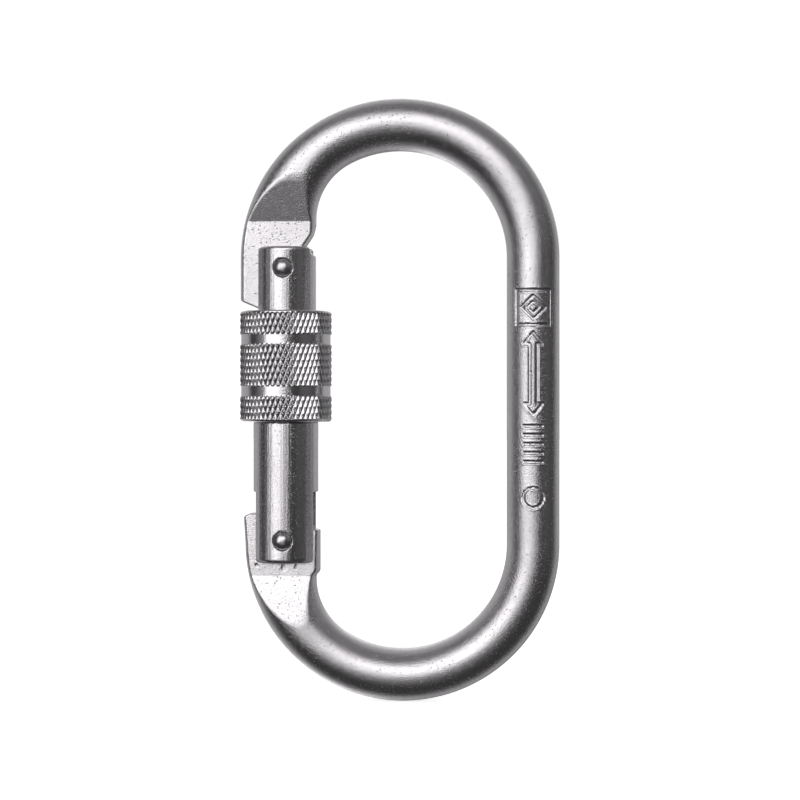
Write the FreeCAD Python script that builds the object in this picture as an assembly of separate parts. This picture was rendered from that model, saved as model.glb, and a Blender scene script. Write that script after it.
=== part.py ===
import FreeCAD, Part
import math
import os

# Oval screw-lock carabiner, in millimetres.
# +Z runs along the oval from the hinge end to the latch end, +X from the gate to the spine,
# and Y is the thickness. The origin is the centre of the closed carabiner's outline.

# ---- frame: a bent round rod whose two ends are forged flat ----
rod_r = 5.0
spine_x = 25.45
overall_half_z = 57.3
top_bow_r = 25.4                 # radius of the rod's centreline
bottom_bow_r = 24.95
plate_half = 2.6                 # half thickness of the forged ends
web_half = 4.8                   # half thickness where the rod has widened and isn't flat yet
neck_bow_r = 12.0                # inner edge where the rod widens into a forged end
nose_neck_x = -15.85             # inner edge of the nose
hinge_neck_x = -15.8             # inner edge of the hinge plate's root
nose_flat_z = 33.85              # the nose is flat below this height
nose_slope_end_z = 42.05         # the rod is full round above this height
hinge_flat_z = -33.65
hinge_slope_end_z = -42.0

# ---- gate: a steel bar, slotted at both ends and bored from the hinge end ----
gate_x = -21.7
hinge_z = -26.65
latch_z = 24.9
gate_bottom_z = -30.95
gate_top_z = 29.05
gate_r = 6.2
gate_top_r = 5.75
gate_edge = 0.7                  # chamfer round each end of the gate
thread_r = 6.0                   # mean radius of the gate's thread
thread_z = (-3.8, 16.2)
slot_half = 2.7
hinge_slot_z = -17.6
latch_slot_z = 15.5
latch_slot_x = 3.45              # inner face of the latch slot, from the gate's axis
latch_wall_x = 2.65              # the wall behind the latch slot slopes away from here outwards
latch_wall_z = (28.9, 26.8)      # its height there and at latch_wall_reach from the gate's axis
latch_wall_reach = 7.0
bore_r = 3.9
bore_end_z = 6.4

# ---- lock sleeve ----
sleeve_bottom_z = -4.2
sleeve_length = 21.05
sleeve_r = 8.75
sleeve_chamfer = 0.6
skirt_r = 6.28                   # plain bore that slides over the gate
skirt_length = 8.55
liner_r = 6.9                    # outside of the threaded liner
rim_height = 0.6                 # flange above the liner
rim_r = 6.15
band_offsets = (4.8, 14.6)       # bottom of each smooth band, above the sleeve's bottom
band_height = 2.05
band_depth = 0.22

# ---- hinge plate lips and the cam under the plunger, measured from the hinge rivet ----
hinge_lip_x = -15.05             # inner edge of the hinge plate
hinge_lip_run = 1.2              # height over which the root's inner edge moves out to it
outer_lip = (-8.15, 4.3)         # where the outer lip's sloping top starts
outer_lip_flare = 0.45           # how far the outer lip leans out of the bow's circle
inner_lip_z = 2.0
cam_height = 5.0                 # plunger face above the rivet with the gate closed
cam_lever = 2.6                  # plunger travel per radian of gate turn
cam_shoulder = (5.05, 4.0)       # where the cam's inner side drops to the inner lip
outer_lip_slope = 0.47
inner_lip_fall = 0.2             # how far the inner lip's top falls towards the spine
opening = math.radians(25.0)     # the gate's opening angle
cam_steps = 10

# ---- nose end, measured from the latch rivet ----
notch_r = 1.75
tongue_x = 2.95
tongue_low_z = -3.5
tongue_high_z = 3.1
tongue_foot = ((-3.65, -7.0), (2.2, -4.3))             # underside, from the lip to the tongue
tongue_neck = ((3.85, 4.6), (5.25, 6.7), (5.8, 8.0))   # the diagonal neck above the tongue
lip_tip = (-5.1, -7.55)
lip_outer = (-7.95, -6.35)

# ---- rivets, plunger and spring ----
rivet_r = 1.5
rivet_head_r = 1.8
rivet_head_h = 0.6               # straight part of a rivet's head, sunk in the gate
rivet_sunk = 0.35                # how far the top of that straight part lies below the gate's surface
rivet_dome = 0.8
plunger_r = 3.8
plunger_head = 3.0
plunger_chamfer = 0.3
plunger_stem_r = 2.3
plunger_stem = 9.0
spring_wire_r = 0.55
spring_mean_r = 3.15
spring_turns = 11

running = 0.05                   # radial clearance of every turning or sliding fit
touch = 0.03                     # axial clearance between faces that bear on each other
wide = 40.0                      # larger than anything that a cut has to clear
clear_x = (-11.0, 12.0)          # reach of a trimming outline, either side of the gate's axis
clear_z = 25.0
blank_over = 1.0                 # how far an untrimmed forged end reaches past its finished outline

top_bow_x = spine_x - top_bow_r
top_bow_z = overall_half_z - top_bow_r - rod_r
bottom_bow_x = spine_x - bottom_bow_r
bottom_bow_z = bottom_bow_r + rod_r - overall_half_z
sleeve_top_z = sleeve_bottom_z + sleeve_length
V = FreeCAD.Vector


def point(x, z):
    return V(x, 0, z)


def line(start, end):
    return Part.LineSegment(point(*start), point(*end)).toShape()


def arc(centre, radius, start_deg, end_deg):
    """An arc in the XZ plane. Angles run from +X towards +Z."""
    angles = [math.radians(a) for a in (start_deg, (start_deg + end_deg) / 2, end_deg)]
    ends = [point(centre[0] + radius * math.cos(a), centre[1] + radius * math.sin(a)) for a in angles]
    return Part.Arc(*ends).toShape()


def extrude_y(edges, half):
    """A closed outline in the XZ plane, given thickness along Y."""
    face = Part.Face(Part.Wire(edges))
    face.translate(V(0, -half, 0))
    return face.extrude(V(0, 2 * half, 0))


def polygon_edges(points):
    return [line(a, b) for a, b in zip(points, points[1:] + points[:1])]


def pipe(edges, radius=rod_r):
    """A round rod along joined edges."""
    first = edges[0]
    start = first.valueAt(first.FirstParameter)
    section = Part.Wire([Part.makeCircle(radius, start, first.tangentAt(first.FirstParameter))])
    return Part.Wire(edges).makePipeShell([section], True, False)


def cylinder(radius, z0, z1):
    """A cylinder on the gate's axis."""
    return Part.makeCylinder(radius, z1 - z0, V(gate_x, 0, z0), V(0, 0, 1))


def turned(profile):
    """A ring or bar turned about the gate's axis from (radius, z) points."""
    corners = [V(gate_x + r, 0, z) for r, z in profile]
    face = Part.Face(Part.makePolygon(corners + [corners[0]]))
    return face.revolve(V(gate_x, 0, 0), V(0, 0, 1), 360)


def cross_pin(radius, z, reach=wide):
    return Part.makeCylinder(radius, 2 * reach, V(gate_x, -reach, z), V(0, 1, 0))


def box(x0, x1, y0, y1, z0, z1):
    return Part.makeBox(x1 - x0, y1 - y0, z1 - z0, V(x0, y0, z0))


# ---------------------------------------------------------------- frame

def neck(bow, bow_r, edge_x, side):
    """The arc where a forged end's inner edge leaves the bow: its centre and its angle above -X."""
    reach = bow_r - rod_r - neck_bow_r
    angle = math.acos((bow[0] - edge_x - neck_bow_r) / reach)
    centre = (bow[0] - reach * math.cos(angle), bow[1] + side * reach * math.sin(angle))
    return centre, math.degrees(angle)


def forged_end(bow, bow_r, edge_x, side, outer_run, inner_run):
    """The material that widens the rod inwards at one end: a second rod and the web between."""
    centre, angle = neck(bow, bow_r, edge_x, side)
    outer_x = bow[0] - bow_r
    inner_x = edge_x - rod_r
    root, half = 180 - side * angle, 180
    ends = [(inner_x, centre[1])] + inner_run
    inner_lines = [line(a, b) for a, b in zip(ends, ends[1:])]
    inner_rod = pipe([arc(centre, neck_bow_r + rod_r, root, half)] + inner_lines)
    rim = [(outer_x, bow[1])] + outer_run + inner_run[::-1] + [(inner_x, centre[1])]
    edges = [arc(bow, bow_r, root, half)]
    edges += [line(a, b) for a, b in zip(rim, rim[1:])]
    edges.append(arc(centre, neck_bow_r + rod_r, half, root))
    return [inner_rod, extrude_y(edges, web_half)]


def flat_cuts(flat_z, slope_end_z):
    """What lies outside a forged end: beyond its flats and beyond the slopes up to the rod."""
    cuts = []
    for face in (-1, 1):
        corners = [(plate_half, 0), (plate_half, flat_z), (rod_r, slope_end_z), (wide, slope_end_z), (wide, 0)]
        corners = [V(-wide, face * y, z) for y, z in corners]
        profile = Part.Face(Part.makePolygon(corners + [corners[0]]))
        cuts.append(profile.extrude(V(wide + gate_x + clear_x[1], 0, 0)))
    return cuts


def nose_trim():
    """What is cut from the latch end: under the lip, round the tongue and its rivet notch."""
    def at(x, z):
        return (gate_x + x, latch_z + z)

    left, right = clear_x
    slope = (lip_outer[1] - lip_tip[1]) / (lip_outer[0] - lip_tip[0])
    far_left = (left, lip_tip[1] + slope * (left - lip_tip[0]))
    corner = at(right, tongue_neck[-1][1])
    below = [corner, at(right, -clear_z), at(left, -clear_z), at(*far_left), at(*lip_tip)]
    below += [at(*p) for p in tongue_foot]
    below += [at(tongue_x, tongue_low_z), at(tongue_x, -notch_r), at(0, -notch_r)]
    above = [at(0, notch_r), at(tongue_x, notch_r), at(tongue_x, tongue_high_z)]
    above += [at(*p) for p in tongue_neck] + [corner]
    edges = [line(a, b) for a, b in zip(below, below[1:])]
    edges.append(arc((gate_x, latch_z), notch_r, 270, 90))
    edges += [line(a, b) for a, b in zip(above, above[1:])]
    return extrude_y(edges, wide)


def cam_point(turn):
    """Where the plunger's flat face touches the cam once the gate has turned this far."""
    height = cam_height + cam_lever * turn
    x = height * math.sin(turn) + cam_lever * math.cos(turn)
    z = height * math.cos(turn) - cam_lever * math.sin(turn)
    return (gate_x + x, hinge_z + z)


def hinge_trim():
    """What is cut above the hinge plate: over both lips and over the cam between them."""
    def at(x, z):
        return (gate_x + x, hinge_z + z)

    left, right = clear_x
    start = at(left, outer_lip[1] + outer_lip_slope * (left - outer_lip[0]))
    top_left = at(outer_lip[0] + (cam_height - outer_lip[1]) / outer_lip_slope, cam_height)
    cam = [cam_point(opening * i / cam_steps) for i in range(cam_steps + 1)]
    inner = [at(*cam_shoulder), at(cam_shoulder[0], inner_lip_z), at(right, inner_lip_z - inner_lip_fall)]
    above = [at(right, clear_z), at(left, clear_z)]
    return extrude_y(polygon_edges([start, top_left] + cam + inner + above), wide)


def make_frame():
    top_bow, bottom_bow = (top_bow_x, top_bow_z), (bottom_bow_x, bottom_bow_z)
    nose_x, root_x = top_bow_x - top_bow_r, bottom_bow_x - bottom_bow_r
    nose_low = (nose_x, latch_z + lip_tip[1] - blank_over)
    lip_high = (root_x - outer_lip_flare, hinge_z + cam_height + blank_over)
    rod = pipe([
        line(nose_low, (nose_x, top_bow_z)),
        arc(top_bow, top_bow_r, 180, 90),
        arc(top_bow, top_bow_r, 90, 0),
        line((spine_x, top_bow_z), (spine_x, bottom_bow_z)),
        arc(bottom_bow, bottom_bow_r, 0, -90),
        arc(bottom_bow, bottom_bow_r, -90, -180),
        line((root_x, bottom_bow_z), lip_high),
    ])
    nose_run = [(nose_neck_x - rod_r, latch_z + notch_r)]
    tongue_edge = gate_x + tongue_x + blank_over
    nose_web = [nose_low, (tongue_edge, nose_low[1]), (tongue_edge, latch_z + notch_r)]
    nose = forged_end(top_bow, top_bow_r, nose_neck_x, 1, nose_web, nose_run)
    lip_x = hinge_lip_x - rod_r
    lip_run = [
        (hinge_neck_x - rod_r, hinge_flat_z),
        (lip_x, hinge_flat_z + hinge_lip_run),
        (lip_x, hinge_z + inner_lip_z + blank_over),
    ]
    plate_web = [lip_high, (lip_x, lip_high[1])]
    hinge = forged_end(bottom_bow, bottom_bow_r, hinge_neck_x, -1, plate_web, lip_run)
    frame = rod.fuse(nose + hinge)
    frame = frame.cut(flat_cuts(nose_flat_z, nose_slope_end_z) + flat_cuts(hinge_flat_z, hinge_slope_end_z))
    return frame.cut([nose_trim(), hinge_trim(), cross_pin(rivet_r + running, hinge_z)])


# ---------------------------------------------------------------- gate

def make_gate():
    bar = turned([
        (0, gate_bottom_z),
        (gate_r - gate_edge, gate_bottom_z),
        (gate_r, gate_bottom_z + gate_edge),
        (gate_r, thread_z[0]),
        (thread_r, thread_z[0]),
        (thread_r, thread_z[1]),
        (gate_top_r, thread_z[1]),
        (gate_top_r, gate_top_z - gate_edge),
        (gate_top_r - gate_edge, gate_top_z),
        (0, gate_top_z),
    ])
    cuts = [
        cylinder(bore_r, gate_bottom_z - blank_over, bore_end_z),
        box(-wide, 0, -slot_half, slot_half, gate_bottom_z - blank_over, hinge_slot_z),
        box(-wide, gate_x + latch_slot_x, -slot_half, slot_half, latch_slot_z, gate_top_z + blank_over),
    ]
    for z, radius in ((hinge_z, gate_r), (latch_z, gate_top_r)):
        seat = radius - rivet_head_h - rivet_sunk
        cuts.append(cross_pin(rivet_r, z))
        for side in (-1, 1):
            recess = Part.makeCylinder(rivet_head_r + running, wide, V(gate_x, side * seat, z), V(0, side, 0))
            cuts.append(recess)
    # the wall behind the tongue slopes away under the nose's diagonal neck
    near, far = gate_x + latch_wall_x, gate_x + latch_wall_reach
    above = gate_top_z + blank_over
    wall_top = [(near, latch_wall_z[0]), (far, latch_wall_z[1]), (far, above), (near, above)]
    cuts.append(extrude_y(polygon_edges(wall_top), slot_half))
    return bar.cut(cuts)


def make_rivet(z, radius):
    """A rivet whose domed heads sit in the gate's cheeks."""
    seat = radius - rivet_head_h - rivet_sunk
    rivet = cross_pin(rivet_r, z, seat)
    dome_r = (rivet_head_r ** 2 + rivet_dome ** 2) / (2 * rivet_dome)
    for side in (-1, 1):
        head = Part.makeCylinder(rivet_head_r, rivet_head_h, V(gate_x, side * seat, z), V(0, side, 0))
        face_y = seat + rivet_head_h
        ball = Part.makeSphere(dome_r, V(gate_x, side * (face_y + rivet_dome - dome_r), z))
        cap = Part.makeCylinder(rivet_head_r, rivet_dome, V(gate_x, side * face_y, z), V(0, side, 0))
        rivet = rivet.fuse([head, ball.common(cap)])
    return rivet.removeSplitter()


# ---------------------------------------------------------------- lock sleeve

def make_sleeve():
    bottom, top = sleeve_bottom_z, sleeve_top_z
    groove_z0 = bottom + skirt_length
    groove_z1 = top - rim_height
    outside = [(sleeve_r - sleeve_chamfer, bottom), (sleeve_r, bottom + sleeve_chamfer)]
    for offset in band_offsets:
        z0, z1 = bottom + offset, bottom + offset + band_height
        sunk = sleeve_r - band_depth
        outside += [(sleeve_r, z0), (sunk, z0 + band_depth), (sunk, z1 - band_depth), (sleeve_r, z1)]
    outside += [(sleeve_r, top - sleeve_chamfer), (sleeve_r - sleeve_chamfer, top)]
    inside = [
        (rim_r, top),
        (rim_r, groove_z1),
        (liner_r + running, groove_z1),
        (liner_r + running, groove_z0),
        (skirt_r, groove_z0),
        (skirt_r, bottom),
    ]
    return turned(outside + inside)


def make_sleeve_thread():
    z0 = sleeve_bottom_z + skirt_length + touch
    z1 = sleeve_top_z - rim_height - touch
    bore = thread_r + running
    return turned([(bore, z0), (liner_r, z0), (liner_r, z1), (bore, z1)])


# ---------------------------------------------------------------- plunger and spring

def make_plunger():
    face = hinge_z + cam_height + touch
    head = face + plunger_head
    return turned([
        (0, face),
        (plunger_r - plunger_chamfer, face),
        (plunger_r, face + plunger_chamfer),
        (plunger_r, head),
        (plunger_stem_r, head),
        (plunger_stem_r, head + plunger_stem - plunger_chamfer),
        (plunger_stem_r - plunger_chamfer, head + plunger_stem),
        (0, head + plunger_stem),
    ])


def make_spring():
    z0 = hinge_z + cam_height + touch + plunger_head + spring_wire_r + touch
    z1 = bore_end_z - spring_wire_r - touch
    helix = Part.makeHelix((z1 - z0) / spring_turns, z1 - z0, spring_mean_r)
    helix.translate(V(gate_x, 0, z0))
    start = V(gate_x + spring_mean_r, 0, z0)
    section = Part.Wire([Part.makeCircle(spring_wire_r, start, V(0, 1, 0))])
    return Part.Wire(helix.Edges).makePipeShell([section], True, True)


nodes = {
    "frame": make_frame(),
    "gate_tube": make_gate(),
    "hinge_rivet": make_rivet(hinge_z, gate_r),
    "latch_rivet": make_rivet(latch_z, gate_top_r),
    "lock_sleeve": make_sleeve(),
    "sleeve_thread": make_sleeve_thread(),
    "gate_plunger": make_plunger(),
    "gate_spring": make_spring(),
}

os.makedirs("parts", exist_ok=True)
for name, shape in nodes.items():
    solid = shape.Solids[0] if shape.ShapeType == "Compound" and len(shape.Solids) == 1 else shape
    solid.exportStep(f"parts/{name}.step")
    size = solid.BoundBox
    print(f"{name}: valid {solid.isValid()}, solids {len(solid.Solids)}, volume {solid.Volume:.1f} mm3, "
          f"x {size.XMin:.2f}..{size.XMax:.2f}, z {size.ZMin:.2f}..{size.ZMax:.2f}")
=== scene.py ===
import functools
import math

import bpy
import numpy as np
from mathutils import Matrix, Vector


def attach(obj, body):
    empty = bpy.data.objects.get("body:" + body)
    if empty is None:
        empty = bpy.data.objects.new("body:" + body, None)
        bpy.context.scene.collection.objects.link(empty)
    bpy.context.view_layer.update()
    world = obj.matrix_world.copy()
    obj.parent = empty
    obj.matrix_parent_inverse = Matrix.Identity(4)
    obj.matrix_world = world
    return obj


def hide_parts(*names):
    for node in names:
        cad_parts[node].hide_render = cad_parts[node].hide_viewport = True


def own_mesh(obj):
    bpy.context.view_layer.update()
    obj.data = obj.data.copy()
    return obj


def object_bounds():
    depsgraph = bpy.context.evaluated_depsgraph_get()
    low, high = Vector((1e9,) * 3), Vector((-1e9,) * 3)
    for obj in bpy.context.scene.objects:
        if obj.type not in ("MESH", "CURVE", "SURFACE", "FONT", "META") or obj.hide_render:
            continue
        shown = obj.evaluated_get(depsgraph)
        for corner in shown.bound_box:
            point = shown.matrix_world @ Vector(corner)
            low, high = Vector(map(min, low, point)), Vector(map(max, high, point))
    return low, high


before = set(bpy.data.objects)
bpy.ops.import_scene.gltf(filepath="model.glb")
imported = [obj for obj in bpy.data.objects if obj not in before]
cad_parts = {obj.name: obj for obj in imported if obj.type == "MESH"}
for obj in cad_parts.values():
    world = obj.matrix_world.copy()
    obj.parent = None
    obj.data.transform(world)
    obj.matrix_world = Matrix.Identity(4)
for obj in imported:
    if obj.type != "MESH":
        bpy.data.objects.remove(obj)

cad_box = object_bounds()
MM = 0.001

# Sizes below are in millimetres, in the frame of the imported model: +X from the gate to the spine,
# +Z from the hinge end to the latch end, and -Y towards the camera.

# ---- bent bar ----
ROD_R = 5.0
TOP_BOW = (0.05, 26.9, 25.4)           # centre x, centre z and radius of the rod's centreline
BOTTOM_BOW = (0.5, -27.35, 24.95)
NECK_R = 12.0                          # inner edge where the rod widens into a forged end
NOSE_EDGE_X = -15.85
ROOT_EDGE_X = -15.8
PLATE_HALF = 2.6                       # half thickness of the forged ends
ROOT_DRAFT = math.tan(math.radians(2.0))   # the hinge plate thins upwards, as a forging does
NOSE_FLAT_Z, NOSE_SLOPE_END_Z = 33.85, 42.05
ROOT_FLAT_Z, ROOT_SLOPE_END_Z = -33.65, -42.0
PLATE_EDGE_R = 0.3                     # rounding round the forged faces
ROOT_LIP_STEP, ROOT_LIP_RUN = 0.75, 1.2    # the hinge plate's inner edge steps out this far
OUTER_FLARE, FLARE_HEIGHT = 0.45, 6.0      # the outer lip's lean, and where above the rivet it is full
FORGED_X = -9.7                        # the forged ends lie left of this
CAM_HEIGHT, CAM_LEVER = 5.0, 2.6       # the plunger's seat above the hinge, and its rise per radian
FAR_LEFT = -11.0                       # clear of the bar's outside, from the gate's axis

# ---- gate ----
GATE_X = -21.7
HINGE_Z, LATCH_Z = -26.65, 24.9
GATE_Z = (-30.95, 29.05)
GATE_R, GATE_TOP_R, GATE_CORE_R = 6.2, 5.75, 5.4
GATE_END_R, GATE_EDGE_R = 0.75, 0.22   # rounding of its ends, and along its slots
THREAD_Z = (-3.8, 15.3)
THREAD_PITCH = 1.0
GATE_THREAD_R = (5.2, 5.5, 6.08)       # back, root and crest
SLOT_HALF = 2.7
HINGE_SLOT_Z, LATCH_SLOT_Z, LATCH_SLOT_X = -17.6, 15.5, 3.45
BORE_R, BORE_END_Z = 3.9, 6.4
WALL_CUT = ((2.65, 28.9), (7.0, 26.8))     # slanting top of the wall over the latch slot, from the axis
RIVET_HEAD_R, RIVET_HEAD_H, RIVET_SUNK, RECESS_R = 1.78, 0.6, 0.35, 1.86
PLAY = 0.03

# ---- lock sleeve ----
SLEEVE_Z0, SLEEVE_LENGTH = -4.2, 21.05
SLEEVE_TOP = SLEEVE_Z0 + SLEEVE_LENGTH
SLEEVE_R = 8.75
SLEEVE_CHAMFER = 0.45
SKIRT_R, GROOVE_R, RIM_R = 6.28, 6.95, 6.15    # its inside below, at and above the threaded ring
SKIRT_LENGTH, RIM_HEIGHT = 8.55, 0.6
SLEEVE_THREAD_R = (6.9, 6.22, 5.8)     # back, root and crest
KNURLS, KNURL_ANGLE, KNURL_DEPTH = 54, math.radians(22), 0.32
KNURL_CUTS = ((-1, 1.0), (1, 0.82))    # lean and depth of each of the two sets of grooves
BANDS = ((4.8, 6.85), (14.6, 16.65))   # the smooth bands, above the sleeve's bottom
BAND_DEPTH = 0.22

# ---- stamped marks on the spine's front ----
SPINE_X = 25.45
STAMP_Z = (-21.0, 20.6)
STAMP_DEPTH, STAMP_WIDTH = 0.15, 0.42

# Small dents in the hinge plate under the gate: x, z, half width and half height.
DENTS = ((-21.9, -31.9, 0.6, 1.0), (-27.0, -31.5, 0.45, 0.5), (-19.5, -31.7, 0.35, 0.8))
DENT_DEPTH = 0.16


# ------------------------------------------------------------------ fields

def round_max(a, b, radius):
    """The part shared by two solids' fields, with its edge rounded."""
    outside = np.hypot(np.maximum(a + radius, 0), np.maximum(b + radius, 0))
    return np.minimum(np.maximum(a, b), -radius) + outside


def ramp(value, start, end):
    """0 before start, 1 after end, and smooth between."""
    t = np.clip((value - start) / (end - start), 0, 1)
    return t * t * (3 - 2 * t)


def polygon_distance(points, x, z):
    """Signed distance to a closed outline in the XZ plane, negative inside."""
    best, inside = np.inf, False
    for (ax, az), (bx, bz) in zip(points, points[1:] + points[:1]):
        ex, ez, px, pz = bx - ax, bz - az, x - ax, z - az
        t = np.clip((px * ex + pz * ez) / (ex * ex + ez * ez), 0, 1)
        best = np.minimum(best, np.hypot(px - ex * t, pz - ez * t))
        crosses = (az > z) != (bz > z)
        inside = inside ^ (crosses & (px < ex * pz / (ez if ez else 1.0)))
    return np.where(inside, -best, best)


def field_surface(field, xs, ys, zs, steps=4):
    """Points, quads and normals of a field's zero surface, sampled on a grid and then moved onto it."""
    axes = (xs, ys, zs)
    value = field(xs[:, None, None], ys[None, :, None], zs[None, None, :])
    inside = value < 0
    cells = tuple(n - 1 for n in value.shape)
    total, count = np.zeros((*cells, 3)), np.zeros(cells, np.int32)
    edges = []
    for a in range(3):
        b, c = (a + 1) % 3, (a + 2) % 3
        low, high = [slice(None)] * 3, [slice(None)] * 3
        low[a], high[a] = slice(0, -1), slice(1, None)
        low, high = tuple(low), tuple(high)
        where = np.argwhere(inside[low] != inside[high])
        v0, v1 = value[low][tuple(where.T)], value[high][tuple(where.T)]
        at = np.stack([axes[i][where[:, i]] for i in range(3)], 1).astype(float)
        at[:, a] += (axes[a][where[:, a] + 1] - axes[a][where[:, a]]) * v0 / (v0 - v1)
        around = []
        for step_b, step_c in ((1, 1), (0, 1), (0, 0), (1, 0)):
            cell = where.copy()
            cell[:, b] -= step_b
            cell[:, c] -= step_c
            np.add.at(total, tuple(cell.T), at)
            np.add.at(count, tuple(cell.T), 1)
            around.append(cell)
        edges.append((around, v0 < 0))
    number = np.full(cells, -1)
    used = count > 0
    number[used] = np.arange(used.sum())
    points = total[used] / count[used][:, None]
    quads = []
    for around, outwards in edges:
        corners = np.stack([number[tuple(cell.T)] for cell in around], 1)
        corners[~outwards] = corners[~outwards][:, ::-1]
        quads.append(corners)
    longest_move = 0.3
    for _ in range(steps):
        slope, level = gradient(field, points), field(*points.T)
        move = level / np.maximum((slope ** 2).sum(1), 1e-6)
        points -= np.clip(move, -longest_move, longest_move)[:, None] * slope
    slope = gradient(field, points)
    return points, np.concatenate(quads), slope / np.linalg.norm(slope, axis=1, keepdims=True)


def gradient(field, points, step=0.01):
    """A field's slope at each point."""
    found = []
    for axis in range(3):
        shift = np.zeros(3)
        shift[axis] = step
        found.append((field(*(points + shift).T) - field(*(points - shift).T)) / (2 * step))
    return np.stack(found, 1)


def spaced(*stretches):
    """Grid lines: each stretch is (start, end, spacing), and they follow on from each other."""
    lines = []
    for start, end, spacing in stretches:
        count = max(1, round((end - start) / spacing))
        lines += list(np.linspace(start, end, count, endpoint=False))
    return np.array(lines + [stretches[-1][1]])


# ------------------------------------------------------------------ frame's field

def neck_centre(bow, edge_x, side):
    """Centre of the arc that joins a bow's inside to a forged end's inner edge, and its angle."""
    reach = bow[2] - ROD_R - NECK_R
    angle = math.acos((bow[0] - edge_x - NECK_R) / reach)
    return bow[0] - reach * math.cos(angle), bow[1] + side * reach * math.sin(angle), angle


def half_depth(x, z, bow, edge_x, side):
    """Distances in from the bar's outer and inner edges, in the half of the oval on one side."""
    beyond = np.maximum((z - bow[1]) * side, 0)
    reach = np.hypot(x - bow[0], beyond)
    outer, inner = bow[2] + ROD_R - reach, reach - bow[2] + ROD_R
    cx, cz, angle = neck_centre(bow, edge_x, side)
    past_join = -math.cos(angle) * (z - bow[1]) * side - math.sin(angle) * (x - bow[0]) > 0
    at_neck = past_join & (x < bow[0])
    from_neck = np.hypot(np.minimum(x - cx, 0), np.maximum((z - cz) * side, 0)) - NECK_R
    inner = np.where(at_neck, from_neck, inner)
    return outer, inner


def bar_depth(x, z):
    """Distance in from the bar's nearer edge, as seen from the front."""
    top_outer, top_inner = half_depth(x, z, TOP_BOW, NOSE_EDGE_X, 1)
    low_outer, low_inner = half_depth(x, z, BOTTOM_BOW, ROOT_EDGE_X, -1)
    left = x < FORGED_X
    lip = ROOT_LIP_STEP * ramp(z, ROOT_FLAT_Z, ROOT_FLAT_Z + ROOT_LIP_RUN)
    flare_top = HINGE_Z + FLARE_HEIGHT
    flare = OUTER_FLARE * np.clip((z - BOTTOM_BOW[1]) / (flare_top - BOTTOM_BOW[1]), 0, 1)
    low_inner = low_inner + np.where(left, lip, 0)
    low_outer = low_outer + np.where(left, flare, 0)
    return np.where(z > 0, np.minimum(top_outer, top_inner), np.minimum(low_outer, low_inner))


def nose_cut(x, z):
    """What is cut away under the nose's lip, below the tongue, and for the latch rivet."""
    lip_tip, lip_outer, right, notch_r = (-5.1, -7.55), (-7.95, -6.35), 12.0, 1.75
    slope = (lip_outer[1] - lip_tip[1]) / (lip_outer[0] - lip_tip[0])
    lip = (FAR_LEFT, lip_tip[1] + slope * (FAR_LEFT - lip_tip[0]))
    below = [(right, -LATCH_Z - 1), (FAR_LEFT, -LATCH_Z - 1), lip, lip_tip]
    tongue = [(-3.65, -7.0), (2.2, -4.3), (2.95, -3.5), (2.95, 3.1)]
    neck = [(3.85, 4.6), (5.25, 6.7), (5.8, 8.0), (right, 8.0)]
    points = [(GATE_X + px, LATCH_Z + pz) for px, pz in below + tongue + neck]
    notch = np.hypot(np.minimum(x - GATE_X, 0), z - LATCH_Z) - notch_r
    return np.minimum(polygon_distance(points, x, z), notch)


def root_cut(x, z):
    """What is cut away above the hinge plate's two lips and over the cam, and the rivet's hole."""
    opening, outer_lip, slope, right, hole_r = math.radians(25), (-8.15, 4.3), 0.47, 12.0, 1.55
    lip = [
        (FAR_LEFT, outer_lip[1] + slope * (FAR_LEFT - outer_lip[0])),
        (outer_lip[0] + (CAM_HEIGHT - outer_lip[1]) / slope, CAM_HEIGHT),
    ]
    # the cam that the plunger's flat face slides on
    cam = []
    for turn in np.linspace(0, opening, 11):
        reach = CAM_HEIGHT + CAM_LEVER * turn
        cam.append((
            reach * math.sin(turn) + CAM_LEVER * math.cos(turn),
            reach * math.cos(turn) - CAM_LEVER * math.sin(turn),
        ))
    inner_lip = [(5.05, 4.0), (5.05, 2.0), (right, 1.8), (right, 1 - HINGE_Z), (FAR_LEFT, 1 - HINGE_Z)]
    points = [(GATE_X + px, HINGE_Z + pz) for px, pz in lip + cam + inner_lip]
    hole = np.hypot(x - GATE_X, z - HINGE_Z) - hole_r
    return np.minimum(polygon_distance(points, x, z), hole)


def plate_height(z):
    """Half thickness that the forging leaves, from the flats along the slopes to the full rod."""
    nose = (ROD_R - PLATE_HALF) / (NOSE_SLOPE_END_Z - NOSE_FLAT_Z)
    root = (ROD_R - PLATE_HALF) / (ROOT_FLAT_Z - ROOT_SLOPE_END_Z)
    slopes = np.maximum(z - NOSE_FLAT_Z, 0) * nose + np.maximum(ROOT_FLAT_Z - z, 0) * root
    return PLATE_HALF + slopes - np.where(z < 0, np.maximum(z - ROOT_FLAT_Z, 0) * ROOT_DRAFT, 0)


def frame_field(x, y, z):
    """The bent bar: a round rod, forged flat and cut at both ends, with dents and stamped marks."""
    inwards = np.maximum(ROD_R - bar_depth(x, z), 0)
    bar = np.hypot(inwards, y) - ROD_R
    forged = np.where(x < FORGED_X, np.abs(y) - plate_height(z), -2 * ROD_R)
    bar = round_max(bar, forged, PLATE_EDGE_R)
    cut = np.where(x < FORGED_X + 1.0, np.minimum(nose_cut(x, z), root_cut(x, z)), ROD_R)
    bar = round_max(bar, -cut, PLATE_EDGE_R)
    for dent_x, dent_z, half_w, half_h in DENTS:
        near = np.hypot((x - dent_x) / half_w, (z - dent_z) / half_h)
        bar = bar + np.where((y < 0) & (x < FORGED_X), DENT_DEPTH * (1 - ramp(near, 0.1, 1.0)), 0)
    stamped = (x > SPINE_X - ROD_R) & (y < 0) & (z > STAMP_Z[0] - 1) & (z < STAMP_Z[1] + 1)
    return bar + np.where(stamped, stamp_depth(x, z), 0)


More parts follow.
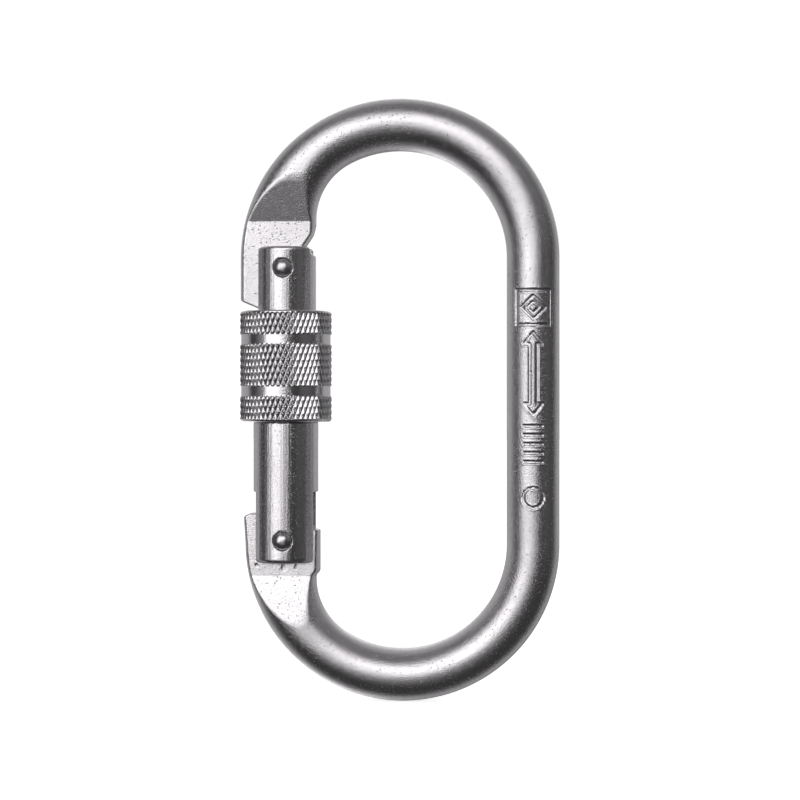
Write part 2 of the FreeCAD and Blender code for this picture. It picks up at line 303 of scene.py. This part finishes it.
def stamp_strokes():
    """Plain marks in place of a maker's: a framed diamond, a two-ended arrow, bars and a ring."""
    def outline(points):
        return list(zip(points, points[1:] + points[:1]))

    half, top, bottom = 3.0, STAMP_Z[1], STAMP_Z[1] - 6.6
    middle = (top + bottom) / 2
    strokes = outline([(-half, top), (half, top), (half, bottom), (-half, bottom)])
    for size in (2.2, 1.1):
        strokes += outline([(0, middle + size), (size, middle), (0, middle - size), (-size, middle)])
    head, tail, barb, shaft = bottom - 1.4, bottom - 17.0, 1.7, 0.65
    point = 2.2
    arrow = [(0, head), (barb, head - point), (shaft, head - point)]
    arrow += [(shaft, tail + point), (barb, tail + point)]
    strokes += outline(arrow + [(0, tail)] + [(-x, z) for x, z in arrow[:0:-1]])
    first, apart, bar_half = tail - 1.9, 1.7, 1.7
    for k in range(5):
        z = first - apart * k
        strokes.append(((-bar_half, z), (bar_half, z)))
    ring, ring_z, sides = 1.9, STAMP_Z[0] + 2.6, 12
    turns = [2 * math.pi * k / sides for k in range(sides)]
    strokes += outline([(ring * math.cos(t), ring_z + ring * math.sin(t)) for t in turns])
    return strokes


STROKES = stamp_strokes()


def stamp_depth(x, z):
    """Depth of the stamped strokes, with a low burr raised along each side."""
    near = np.inf
    for (ax, az), (bx, bz) in STROKES:
        ex, ez, px, pz = bx - ax, bz - az, x - SPINE_X - ax, z - az
        t = np.clip((px * ex + pz * ez) / (ex * ex + ez * ez), 0, 1)
        near = np.minimum(near, np.hypot(px - ex * t, pz - ez * t))
    rise, fall = ramp(near, STAMP_WIDTH * 0.7, STAMP_WIDTH), ramp(near, STAMP_WIDTH, STAMP_WIDTH * 1.8)
    burr = STAMP_DEPTH * 0.2 * rise * (1 - fall)
    return STAMP_DEPTH * (1 - ramp(near, 0.1, STAMP_WIDTH)) - burr


# ------------------------------------------------------------------ gate's field

def capped(radial, radius, z, z0, z1, edge):
    """A round bar from z0 to z1 with rounded ends."""
    return round_max(radial - radius, np.maximum(z0 - z, z - z1), edge)


def gate_field(x, y, z):
    """The gate without its thread, which is a piece of its own."""
    x = x - GATE_X
    radial = np.hypot(x, y)
    lower = capped(radial, GATE_R, z, GATE_Z[0], THREAD_Z[0], GATE_END_R)
    core = capped(radial, GATE_CORE_R, z, THREAD_Z[0] - 1, THREAD_Z[1] + 1, 0.1)
    upper = capped(radial, GATE_TOP_R, z, THREAD_Z[1], GATE_Z[1], GATE_END_R)
    bar = np.minimum(np.minimum(lower, core), upper)
    bore = np.maximum(radial - BORE_R, z - BORE_END_Z)
    hinge_slot = np.maximum(np.abs(y) - SLOT_HALF, z - HINGE_SLOT_Z)
    latch_slot = np.maximum(np.maximum(np.abs(y) - SLOT_HALF, LATCH_SLOT_Z - z), x - LATCH_SLOT_X)
    near, far = WALL_CUT
    slant = math.atan2(near[1] - far[1], far[0] - near[0])
    wall_top = (near[1] - z) * math.cos(slant) + (near[0] - x) * math.sin(slant)
    wall_cut = np.maximum(np.maximum(np.abs(y) - SLOT_HALF, wall_top), near[0] - x)
    sunk = RIVET_HEAD_H + RIVET_SUNK
    low_recess = np.maximum(np.hypot(x, z - HINGE_Z) - RECESS_R, GATE_R - sunk - np.abs(y))
    top_recess = np.maximum(np.hypot(x, z - LATCH_Z) - RECESS_R, GATE_TOP_R - sunk - np.abs(y))
    cuts = [bore, hinge_slot, latch_slot, wall_cut]
    body = round_max(bar, -np.minimum.reduce(np.broadcast_arrays(*cuts)), GATE_EDGE_R)
    return round_max(body, -np.minimum(low_recess, top_recess), 0.1)


# ------------------------------------------------------------------ meshes

def new_piece(name, points, faces, body, material, replaces=(), normals=None):
    """A smooth-shaded mesh from points in millimetres, riding on a CAD body."""
    mesh = bpy.data.meshes.new(name)
    mesh.from_pydata(np.asarray(points) * MM, [], faces)
    mesh.shade_smooth()
    if normals is not None:
        mesh.normals_split_custom_set_from_vertices(normals)
    mesh.materials.append(material)
    piece = bpy.data.objects.new(name, mesh)
    bpy.context.scene.collection.objects.link(piece)
    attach(piece, body)
    if replaces:
        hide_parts(*replaces)
    return piece


def closed_grid(rows, columns, loop_rows=False):
    """Quads of a grid whose columns close round, and whose rows may close too."""
    quads = []
    for j in range(rows if loop_rows else rows - 1):
        k = (j + 1) % rows
        for i in range(columns):
            n = (i + 1) % columns
            quads.append((j * columns + i, j * columns + n, k * columns + n, k * columns + i))
    return quads


def rounded(corner_a, corner, corner_b, radius, steps=5):
    """Points round a corner of a profile."""
    a, c, b = (np.array(p, float) for p in (corner_a, corner, corner_b))
    to_a, to_b = (a - c) / np.linalg.norm(a - c), (b - c) / np.linalg.norm(b - c)
    points = []
    for t in np.linspace(0, 1, steps):
        points.append(c + to_a * radius * (1 - t) ** 2 + to_b * radius * t ** 2)
    return [tuple(p) for p in points]


def knurl(turn, z):
    """How far the knurl is cut below its crests, 0 to 1, by two crossing sets of grooves."""
    lean = KNURLS * math.tan(KNURL_ANGLE) / (2 * math.pi * SLEEVE_R)
    steepness = 1.12
    depth = 0
    for side, share in KNURL_CUTS:
        phase = (turn * KNURLS / (2 * math.pi) + side * z * lean) % 1
        depth = np.maximum(depth, share - 2 * np.minimum(phase, 1 - phase) * steepness)
    return np.clip(depth, 0, 1)


def sleeve_outside(columns):
    """Radius, z and smoothness of every point on the sleeve's outside, row by row from the bottom."""
    start, end = SLEEVE_Z0 + SLEEVE_CHAMFER, SLEEVE_TOP - SLEEVE_CHAMFER
    run_out = 0.15
    # a groove moves half a column sideways in a row, so that crests run through the mesh's points
    step = math.pi * SLEEVE_R / columns / math.tan(KNURL_ANGLE)
    z = np.arange(start, end, step)
    turn = np.arange(columns) * 2 * math.pi / columns
    grid_turn, grid_z = np.meshgrid(turn, z)
    cut = knurl(grid_turn, grid_z - z[0])
    fade = ramp(grid_z, start, start + run_out) * (1 - ramp(grid_z, end - run_out, end))
    smooth = 0
    for low, high in BANDS:
        low, high = low + SLEEVE_Z0, high + SLEEVE_Z0
        rise, fall = ramp(grid_z, low - 0.06, low + 0.12), ramp(grid_z, high - 0.12, high + 0.06)
        inside = rise * (1 - fall)
        smooth = np.maximum(smooth, inside)
    radius = SLEEVE_R - KNURL_DEPTH * cut * (1 - smooth) * fade - BAND_DEPTH * smooth
    return radius, grid_z, smooth


def make_lock_sleeve(material):
    """The sleeve: knurled outside, and inside a skirt, the threaded ring's groove and a rim."""
    columns = KNURLS * 8
    radius, height, smooth = sleeve_outside(columns)
    rows = len(height)
    groove = (SLEEVE_Z0 + SKIRT_LENGTH, SLEEVE_TOP - RIM_HEIGHT)
    side, lean, edge = SLEEVE_R - 0.05, 0.1, 0.5
    inside = rounded((side, SLEEVE_TOP - edge), (side - lean, SLEEVE_TOP), (RIM_R, SLEEVE_TOP), 0.42, 6)
    inside += rounded((side, SLEEVE_TOP), (RIM_R, SLEEVE_TOP), (RIM_R, groove[1]), 0.2, 4)
    inside += [(RIM_R, groove[1]), (GROOVE_R, groove[1]), (GROOVE_R, groove[0]), (SKIRT_R, groove[0])]
    inside += rounded((SKIRT_R, groove[0]), (SKIRT_R, SLEEVE_Z0), (side, SLEEVE_Z0), 0.25, 4)
    inside += rounded((SKIRT_R, SLEEVE_Z0), (side - lean, SLEEVE_Z0), (side, SLEEVE_Z0 + edge), 0.42, 6)
    turn = np.arange(columns) * 2 * math.pi / columns
    rings = [(radius[j], height[j]) for j in range(rows)]
    rings += [(np.full(columns, r), np.full(columns, z)) for r, z in inside]
    points = np.concatenate([
        np.stack([GATE_X + r * np.cos(turn), r * np.sin(turn), z], 1) for r, z in rings
    ])
    faces = closed_grid(len(rings), columns, loop_rows=True)
    piece = new_piece(
        "lock_sleeve_knurled", points, faces, "sleeve", material, ["lock_sleeve"])
    # the knurl's facets meet at crisp crests
    flat = (smooth[:-1] < 0.01).ravel()
    shaded = np.ones(len(faces), bool)
    shaded[:len(flat)] = ~flat
    piece.data.polygons.foreach_set("use_smooth", shaded)
    return piece


def thread_ring(name, radii, z0, z1, body, material, slot, replaces=()):
    """A threaded ring: a plain back and a helical face. An internal thread has its crests inwards."""
    back_r, root_r, crest_r = radii
    columns, per_turn = 96, 12
    steepness, root_flat, run_out = 1.25, 0.12, 0.6
    rows = int((z1 - z0) / THREAD_PITCH * per_turn) + 1
    turn = np.arange(columns) * 2 * math.pi / columns
    inwards = crest_r < root_r
    points = []
    for z in np.linspace(z0, z1, rows):
        phase = (z / THREAD_PITCH - turn / (2 * math.pi) + (0.5 if inwards else 0)) % 1
        height = np.clip(steepness * (1 - 2 * np.abs(phase - 0.5)) - root_flat, 0, 1)
        end = min(1.0, (z - z0) / run_out, (z1 - z) / run_out)
        r = root_r + (crest_r - root_r) * height * max(end, 0)
        points.append(np.stack([GATE_X + r * np.cos(turn), r * np.sin(turn), np.full(columns, z)], 1))
    for z in (z1, z0):
        back = [GATE_X + back_r * np.cos(turn), back_r * np.sin(turn), np.full(columns, z)]
        points.append(np.stack(back, 1))
    faces = closed_grid(rows + 2, columns, loop_rows=True)
    if inwards:
        faces = [face[::-1] for face in faces]
    return new_piece(name, np.concatenate(points), faces, body, material, replaces)


def make_rivet(name, node, z, surface_r, material):
    """A rivet with a low dome at each end, from one side of the gate to the other."""
    shank_r, dome, cap_r, cap_h = 1.5, 0.8, 1.22, 0.34
    columns, side_steps, cap_steps = 56, 5, 13
    seat = surface_r - RIVET_HEAD_H - RIVET_SUNK
    crown = seat + RIVET_HEAD_H
    half = [(shank_r, 0.0), (shank_r, seat), (RIVET_HEAD_R, seat), (RIVET_HEAD_R, crown)]
    # steep sides up to a flatter cap
    for k in range(1, side_steps):
        share = k / side_steps
        half.append((RIVET_HEAD_R + (cap_r - RIVET_HEAD_R) * share, crown + (dome - cap_h) * share))
    for k in range(cap_steps):
        t = 1 - k / cap_steps
        half.append((cap_r * t ** 0.8, crown + dome - cap_h * t ** 2))
    profile = [(r, -y) for r, y in half[:0:-1]] + half
    points = []
    for r, y in profile:
        for i in range(columns):
            turn = 2 * math.pi * i / columns
            points.append((GATE_X + r * math.cos(turn), y, z - r * math.sin(turn)))
    faces = closed_grid(len(profile), columns)
    faces.append(tuple(range(columns))[::-1])
    faces.append(tuple(range(len(points) - columns, len(points))))
    return new_piece(name, points, faces, "gate", material, [node])


def make_spring(material):
    """The coil spring between the plunger's head and the end of the gate's bore."""
    wire_r, mean_r, turns, ring, steps = 0.55, 3.15, 11, 12, 30
    plunger_head, shortest = 3.0, 0.954
    z0 = HINGE_Z + CAM_HEIGHT + PLAY + plunger_head + wire_r + PLAY
    z1 = BORE_END_Z - wire_r - PLAY
    points = []
    count = turns * steps + 1
    for i in range(count):
        t = i / steps
        turn = 2 * math.pi * t
        out = Vector((math.cos(turn), math.sin(turn), 0))
        centre = Vector((GATE_X, 0, z0 + (z1 - z0) * t / turns)) + mean_r * out
        # the wire thins towards its two ends
        size = wire_r * min(1.0, 0.6 + min(t, turns - t) * 2)
        for j in range(ring):
            angle = 2 * math.pi * j / ring
            around = math.cos(angle) * out + math.sin(angle) * Vector((0, 0, 1))
            points.append(tuple(centre + size * around))
    faces = [face[::-1] for face in closed_grid(count, ring)]
    faces.append(tuple(range(ring)))
    faces.append(tuple(range((count - 1) * ring, count * ring))[::-1])
    spring = new_piece(
        "gate_spring_coil", points, faces, "gate", material, ["gate_spring"])
    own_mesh(spring)
    return spring


def make_frame(material):
    """The bent bar, with a finer grid at its forged ends and along the stamped marks."""
    xs = spaced(
        (-31.2, -14.2, 0.24), (-14.2, -6.0, 0.4), (-6.0, 21.6, 0.55),
        (21.6, 29.4, 0.28), (29.4, 31.2, 0.4),
    )
    ys = spaced((-5.3, 5.3, 0.33))
    zs = spaced(
        (-57.8, -43.0, 0.55), (-43.0, -36.0, 0.32), (-36.0, -21.6, 0.27), (-21.6, 21.2, 0.28),
        (21.2, 35.0, 0.27), (35.0, 43.2, 0.32), (43.2, 57.8, 0.55),
    )
    points, faces, normals = field_surface(frame_field, xs, ys, zs)
    return new_piece("bent_bar", points, faces, "frame", material, ["frame"], normals)


def make_gate(material):
    """The gate, with a coarser grid under the sleeve."""
    half = 6.5
    xs = spaced((GATE_X - half, GATE_X + half, 0.24))
    ys = spaced((-half, half, 0.24))
    zs = spaced((-31.3, -16.5, 0.22), (-16.5, 14.5, 0.6), (14.5, 29.4, 0.22))
    points, faces, normals = field_surface(gate_field, xs, ys, zs)
    return new_piece("gate_bar", points, faces, "gate", material, ["gate_tube"], normals)


# ------------------------------------------------------------------ materials

class Nodes:
    """Short calls for wiring a node tree."""

    def __init__(self, tree):
        self.tree = tree
        tree.nodes.clear()

    def add(self, kind, inputs=None, **settings):
        node = self.tree.nodes.new(kind)
        for key, value in settings.items():
            setattr(node, key, value)
        for key, value in (inputs or {}).items():
            if isinstance(value, bpy.types.NodeSocket):
                self.tree.links.new(value, node.inputs[key])
            else:
                node.inputs[key].default_value = value
        return node

    def math(self, operation, *values, clamp=False):
        node = self.add("ShaderNodeMath", dict(enumerate(values)), operation=operation, use_clamp=clamp)
        return node.outputs[0]

    def smooth(self, value, start, end, low=0.0, high=1.0):
        inputs = {"Value": value, "From Min": start, "From Max": end, "To Min": low, "To Max": high}
        return self.add("ShaderNodeMapRange", inputs, interpolation_type="SMOOTHSTEP").outputs[0]

    def product(self, *values):
        return functools.reduce(lambda a, b: self.math("MULTIPLY", a, b), values)

    def sum(self, *values):
        return functools.reduce(lambda a, b: self.math("ADD", a, b), values)

    def window(self, value, rise, fall):
        """1 between rise's end and fall's end, 0 outside both, and smooth between."""
        return self.product(self.smooth(value, *rise), self.smooth(value, *fall))


def steel(name, tint, grain, grain_size, waves=0.0, streaks=0.0, dull=0.16, specks=0.0):
    """Polished steel: grain, drawn streaks along the part, smears of dullness and small dark pits.

    grain, waves and streaks are bump heights and grain_size is a length, all in millimetres. dull is the
    roughness, and specks is how much darker a pit is.
    """
    smear_shade, smear_dull, grain_dull, pit_dull, pit_height = 0.05, 0.07, 0.1, 0.15, 0.5
    material = bpy.data.materials.new(name)
    material.use_nodes = True
    n = Nodes(material.node_tree)
    place = n.add("ShaderNodeTexCoord").outputs["Object"]

    def noise(scale, detail=3.0, stretch=(1, 1, 1)):
        mapped = n.add("ShaderNodeMapping", {"Vector": place, "Scale": stretch}).outputs[0]
        inputs = {"Vector": mapped, "Scale": scale, "Detail": detail, "Roughness": 0.6}
        return n.add("ShaderNodeTexNoise", inputs).outputs["Fac"]

    fine = noise(1000 / grain_size, 2.0)
    swell = noise(260, 2.0)
    lines = noise(1500, 3.0, (1, 1, 0.012))
    smear = n.smooth(noise(90, 3.0), 0.35, 0.7)
    pits = n.smooth(noise(2800, 2.0), 0.61, 0.74)
    shade = n.sum(n.product(smear, smear_shade), n.product(pits, specks))
    shade = n.math("SUBTRACT", 1.0, shade, clamp=True)
    scaled_tint = {0: tuple(tint), "Scale": shade}
    tinted = n.add("ShaderNodeVectorMath", scaled_tint, operation="SCALE").outputs[0]
    rough = n.sum(n.product(smear, smear_dull), dull)
    rough = n.sum(rough, n.product(n.math("SUBTRACT", fine, 0.5), grain_dull), n.product(pits, pit_dull))
    height = n.sum(n.product(fine, grain), n.product(swell, waves), n.product(lines, streaks))
    height = n.math("SUBTRACT", height, n.product(pits, grain * pit_height))
    bump = n.add("ShaderNodeBump", {"Height": height, "Distance": MM, "Strength": 1.0}).outputs[0]
    shader = n.add("ShaderNodeBsdfPrincipled", {
        "Base Color": tinted, "Metallic": 1.0, "Roughness": rough, "Normal": bump,
    }).outputs[0]
    n.add("ShaderNodeOutputMaterial", {"Surface": shader})
    return material


# ------------------------------------------------------------------ studio

def make_studio():
    """The light: a function of direction, in degrees right of the camera's side and up from level.

    A wide softbox hangs above and left of the camera, among dimmer walls and a ceiling. A grey room is
    behind the object. The camera itself sees white.
    """
    world = bpy.data.worlds.new("studio")
    bpy.context.scene.world = world
    world.use_nodes = True
    n = Nodes(world.node_tree)
    direction = n.add("ShaderNodeTexCoord").outputs["Generated"]
    x, y, z = n.add("ShaderNodeSeparateXYZ", {0: direction}).outputs
    right = n.math("DEGREES", n.math("ARCTAN2", x, n.product(y, -1)))
    up = n.math("DEGREES", n.math("ARCSINE", z))

    # the softbox's lower edge slants down to the left, with a dimmer fringe below it
    edge_slant, edge_level, corner_slant = 0.35, 1.6, 0.85
    low = n.math("SUBTRACT", n.math("SUBTRACT", up, n.product(right, edge_slant)), edge_level)
    corner = n.math("SUBTRACT", up, n.product(right, corner_slant))
    full, fringe = n.smooth(low, -2.4, 2.4, 0.0, 2.1), n.smooth(low, -5.5, -1.0, 0.0, 0.5)
    sides = n.window(right, (-50.0, -43.0), (31.0, 24.0))
    top = n.product(n.smooth(corner, -6.0, 2.0), n.smooth(up, 54.0, 32.0))
    box = n.product(n.math("MAXIMUM", full, fringe), sides, top)

    # the room behind, with a softbox and a darker floor that mainly the rear views show
    room = n.smooth(n.math("SUBTRACT", y, n.product(x, 0.12)), 0.16, 0.44, 0.0, 0.46)
    far = n.smooth(y, 0.68, 0.9)
    rear_box = n.product(
        n.window(up, (2.0, 12.0), (56.0, 36.0)), n.window(x, (-0.5, -0.3), (0.42, 0.26)), 0.75)
    rear_floor = n.smooth(up, 0.0, -16.0, 0.0, 0.28)
    rear = n.product(far, n.math("SUBTRACT", rear_box, rear_floor))
    # a tall lamp behind on the left, below the horizon, where the front view's upright bars miss it
    lamp = n.product(
        n.window(right, (-145.0, -152.0), (-174.0, -167.0)),
        n.window(up, (-6.0, -12.0), (-52.0, -36.0)), 1.2)

    # the dim surroundings
    ceiling = n.smooth(up, 45.0, 66.0, 0.0, 0.13)
    left_wall = n.product(
        n.window(right, (-84.0, -56.0), (-34.0, -52.0)), n.smooth(up, -34.0, 0.0), 0.22)
    right_wall = n.product(
        n.window(right, (36.0, 50.0), (100.0, 62.0)), n.smooth(up, -12.0, 8.0), 0.12)
    right_fill = n.product(
        n.window(right, (52.0, 62.0), (122.0, 108.0)), n.window(up, (16.0, 26.0), (66.0, 54.0)), 0.1)
    ahead = n.smooth(n.math("ABSOLUTE", n.sum(right, 4.0)), 30.0, 8.0)
    table = n.product(n.window(up, (-44.0, -20.0), (4.0, -10.0)), ahead, 0.3)
    darkest, white = 0.055, 1.05

    total = n.sum(box, room, rear, lamp, ceiling, left_wall, right_wall, right_fill, table, darkest)
    seen = n.add("ShaderNodeLightPath").outputs["Is Camera Ray"]
    total = n.math("MAXIMUM", total, n.product(seen, white))
    shader = n.add("ShaderNodeBackground", {"Color": (1, 1, 1, 1), "Strength": total}).outputs[0]
    n.add("ShaderNodeOutputWorld", {"Surface": shader})


def make_floor():
    """A pale floor under the object, wide enough for every view."""
    z = cad_box[0][2]
    half = 2.5
    corners = [(-half, -half, z), (half, -half, z), (half, half, z), (-half, half, z)]
    mesh = bpy.data.meshes.new("floor")
    mesh.from_pydata(corners, [], [(0, 1, 2, 3)])
    material = bpy.data.materials.new("floor_paper")
    material.use_nodes = True
    n = Nodes(material.node_tree)
    grain = n.add("ShaderNodeTexNoise", {"Scale": 400.0, "Detail": 3.0}).outputs["Fac"]
    bump = n.add("ShaderNodeBump", {"Height": grain, "Distance": 0.0001, "Strength": 0.3}).outputs[0]
    shader = n.add("ShaderNodeBsdfPrincipled", {
        "Base Color": (0.93, 0.93, 0.93, 1), "Roughness": 0.9, "Normal": bump,
        "Emission Color": (1, 1, 1, 1), "Emission Strength": 0.72,
    }).outputs[0]
    n.add("ShaderNodeOutputMaterial", {"Surface": shader})
    mesh.materials.append(material)
    floor = bpy.data.objects.new("floor", mesh)
    bpy.context.scene.collection.objects.link(floor)
    floor.visible_glossy = False


def make_camera():
    """The camera, level with the oval's middle and a little to its right, as in the photograph."""
    distance, aside, seen_width, sensor = 380.0, 25.0, 152.4, 36.0
    data = bpy.data.cameras.new("camera")
    camera = bpy.data.objects.new("camera", data)
    bpy.context.scene.collection.objects.link(camera)
    target = Vector((0.15, 0, -0.08)) * MM
    camera.location = Vector((aside, -distance, 0)) * MM
    sight = target - camera.location
    camera.rotation_euler = sight.to_track_quat("-Z", "Y").to_euler()
    data.sensor_width = sensor
    data.lens = sensor * sight.length / (seen_width * MM)
    data.clip_start = 0.01
    bpy.context.scene.camera = camera


# ------------------------------------------------------------------ build

bar_tint, sleeve_tint, small_tint = (0.60, 0.58, 0.60), (0.62, 0.60, 0.62), (0.52, 0.505, 0.52)
frame_steel = steel("frame_steel_polished", bar_tint, 0.06, 0.2, waves=0.02, specks=0.5)
gate_steel = steel(
    "gate_steel_drawn", bar_tint, 0.035, 0.2, waves=0.012, streaks=0.08, dull=0.13, specks=0.35)
sleeve_steel = steel("sleeve_steel_knurled", sleeve_tint, 0.015, 0.3)
rivet_steel = steel("rivet_steel_domed", small_tint, 0.01, 0.2, dull=0.22)
spring_steel = steel("spring_steel_wire", small_tint, 0.01, 0.1, dull=0.25)

make_frame(frame_steel)
make_gate(gate_steel)
thread_ring("gate_thread", GATE_THREAD_R, *THREAD_Z, "gate", gate_steel, "gate_steel")
make_lock_sleeve(sleeve_steel)
ring_z = (SLEEVE_Z0 + SKIRT_LENGTH + PLAY, SLEEVE_TOP - RIM_HEIGHT - PLAY)
thread_ring(
    "sleeve_thread_helix", SLEEVE_THREAD_R, *ring_z, "sleeve", sleeve_steel, "sleeve_steel",
    ["sleeve_thread"])
make_rivet("hinge_rivet_domed", "hinge_rivet", HINGE_Z, GATE_R, rivet_steel)
make_rivet("latch_rivet_domed", "latch_rivet", LATCH_Z, GATE_TOP_R, rivet_steel)
make_spring(spring_steel)
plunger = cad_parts["gate_plunger"]
plunger.data.materials.clear()
plunger.data.materials.append(spring_steel)

make_studio()
make_floor()
make_camera()
bpy.context.scene.view_settings.view_transform = "Standard"
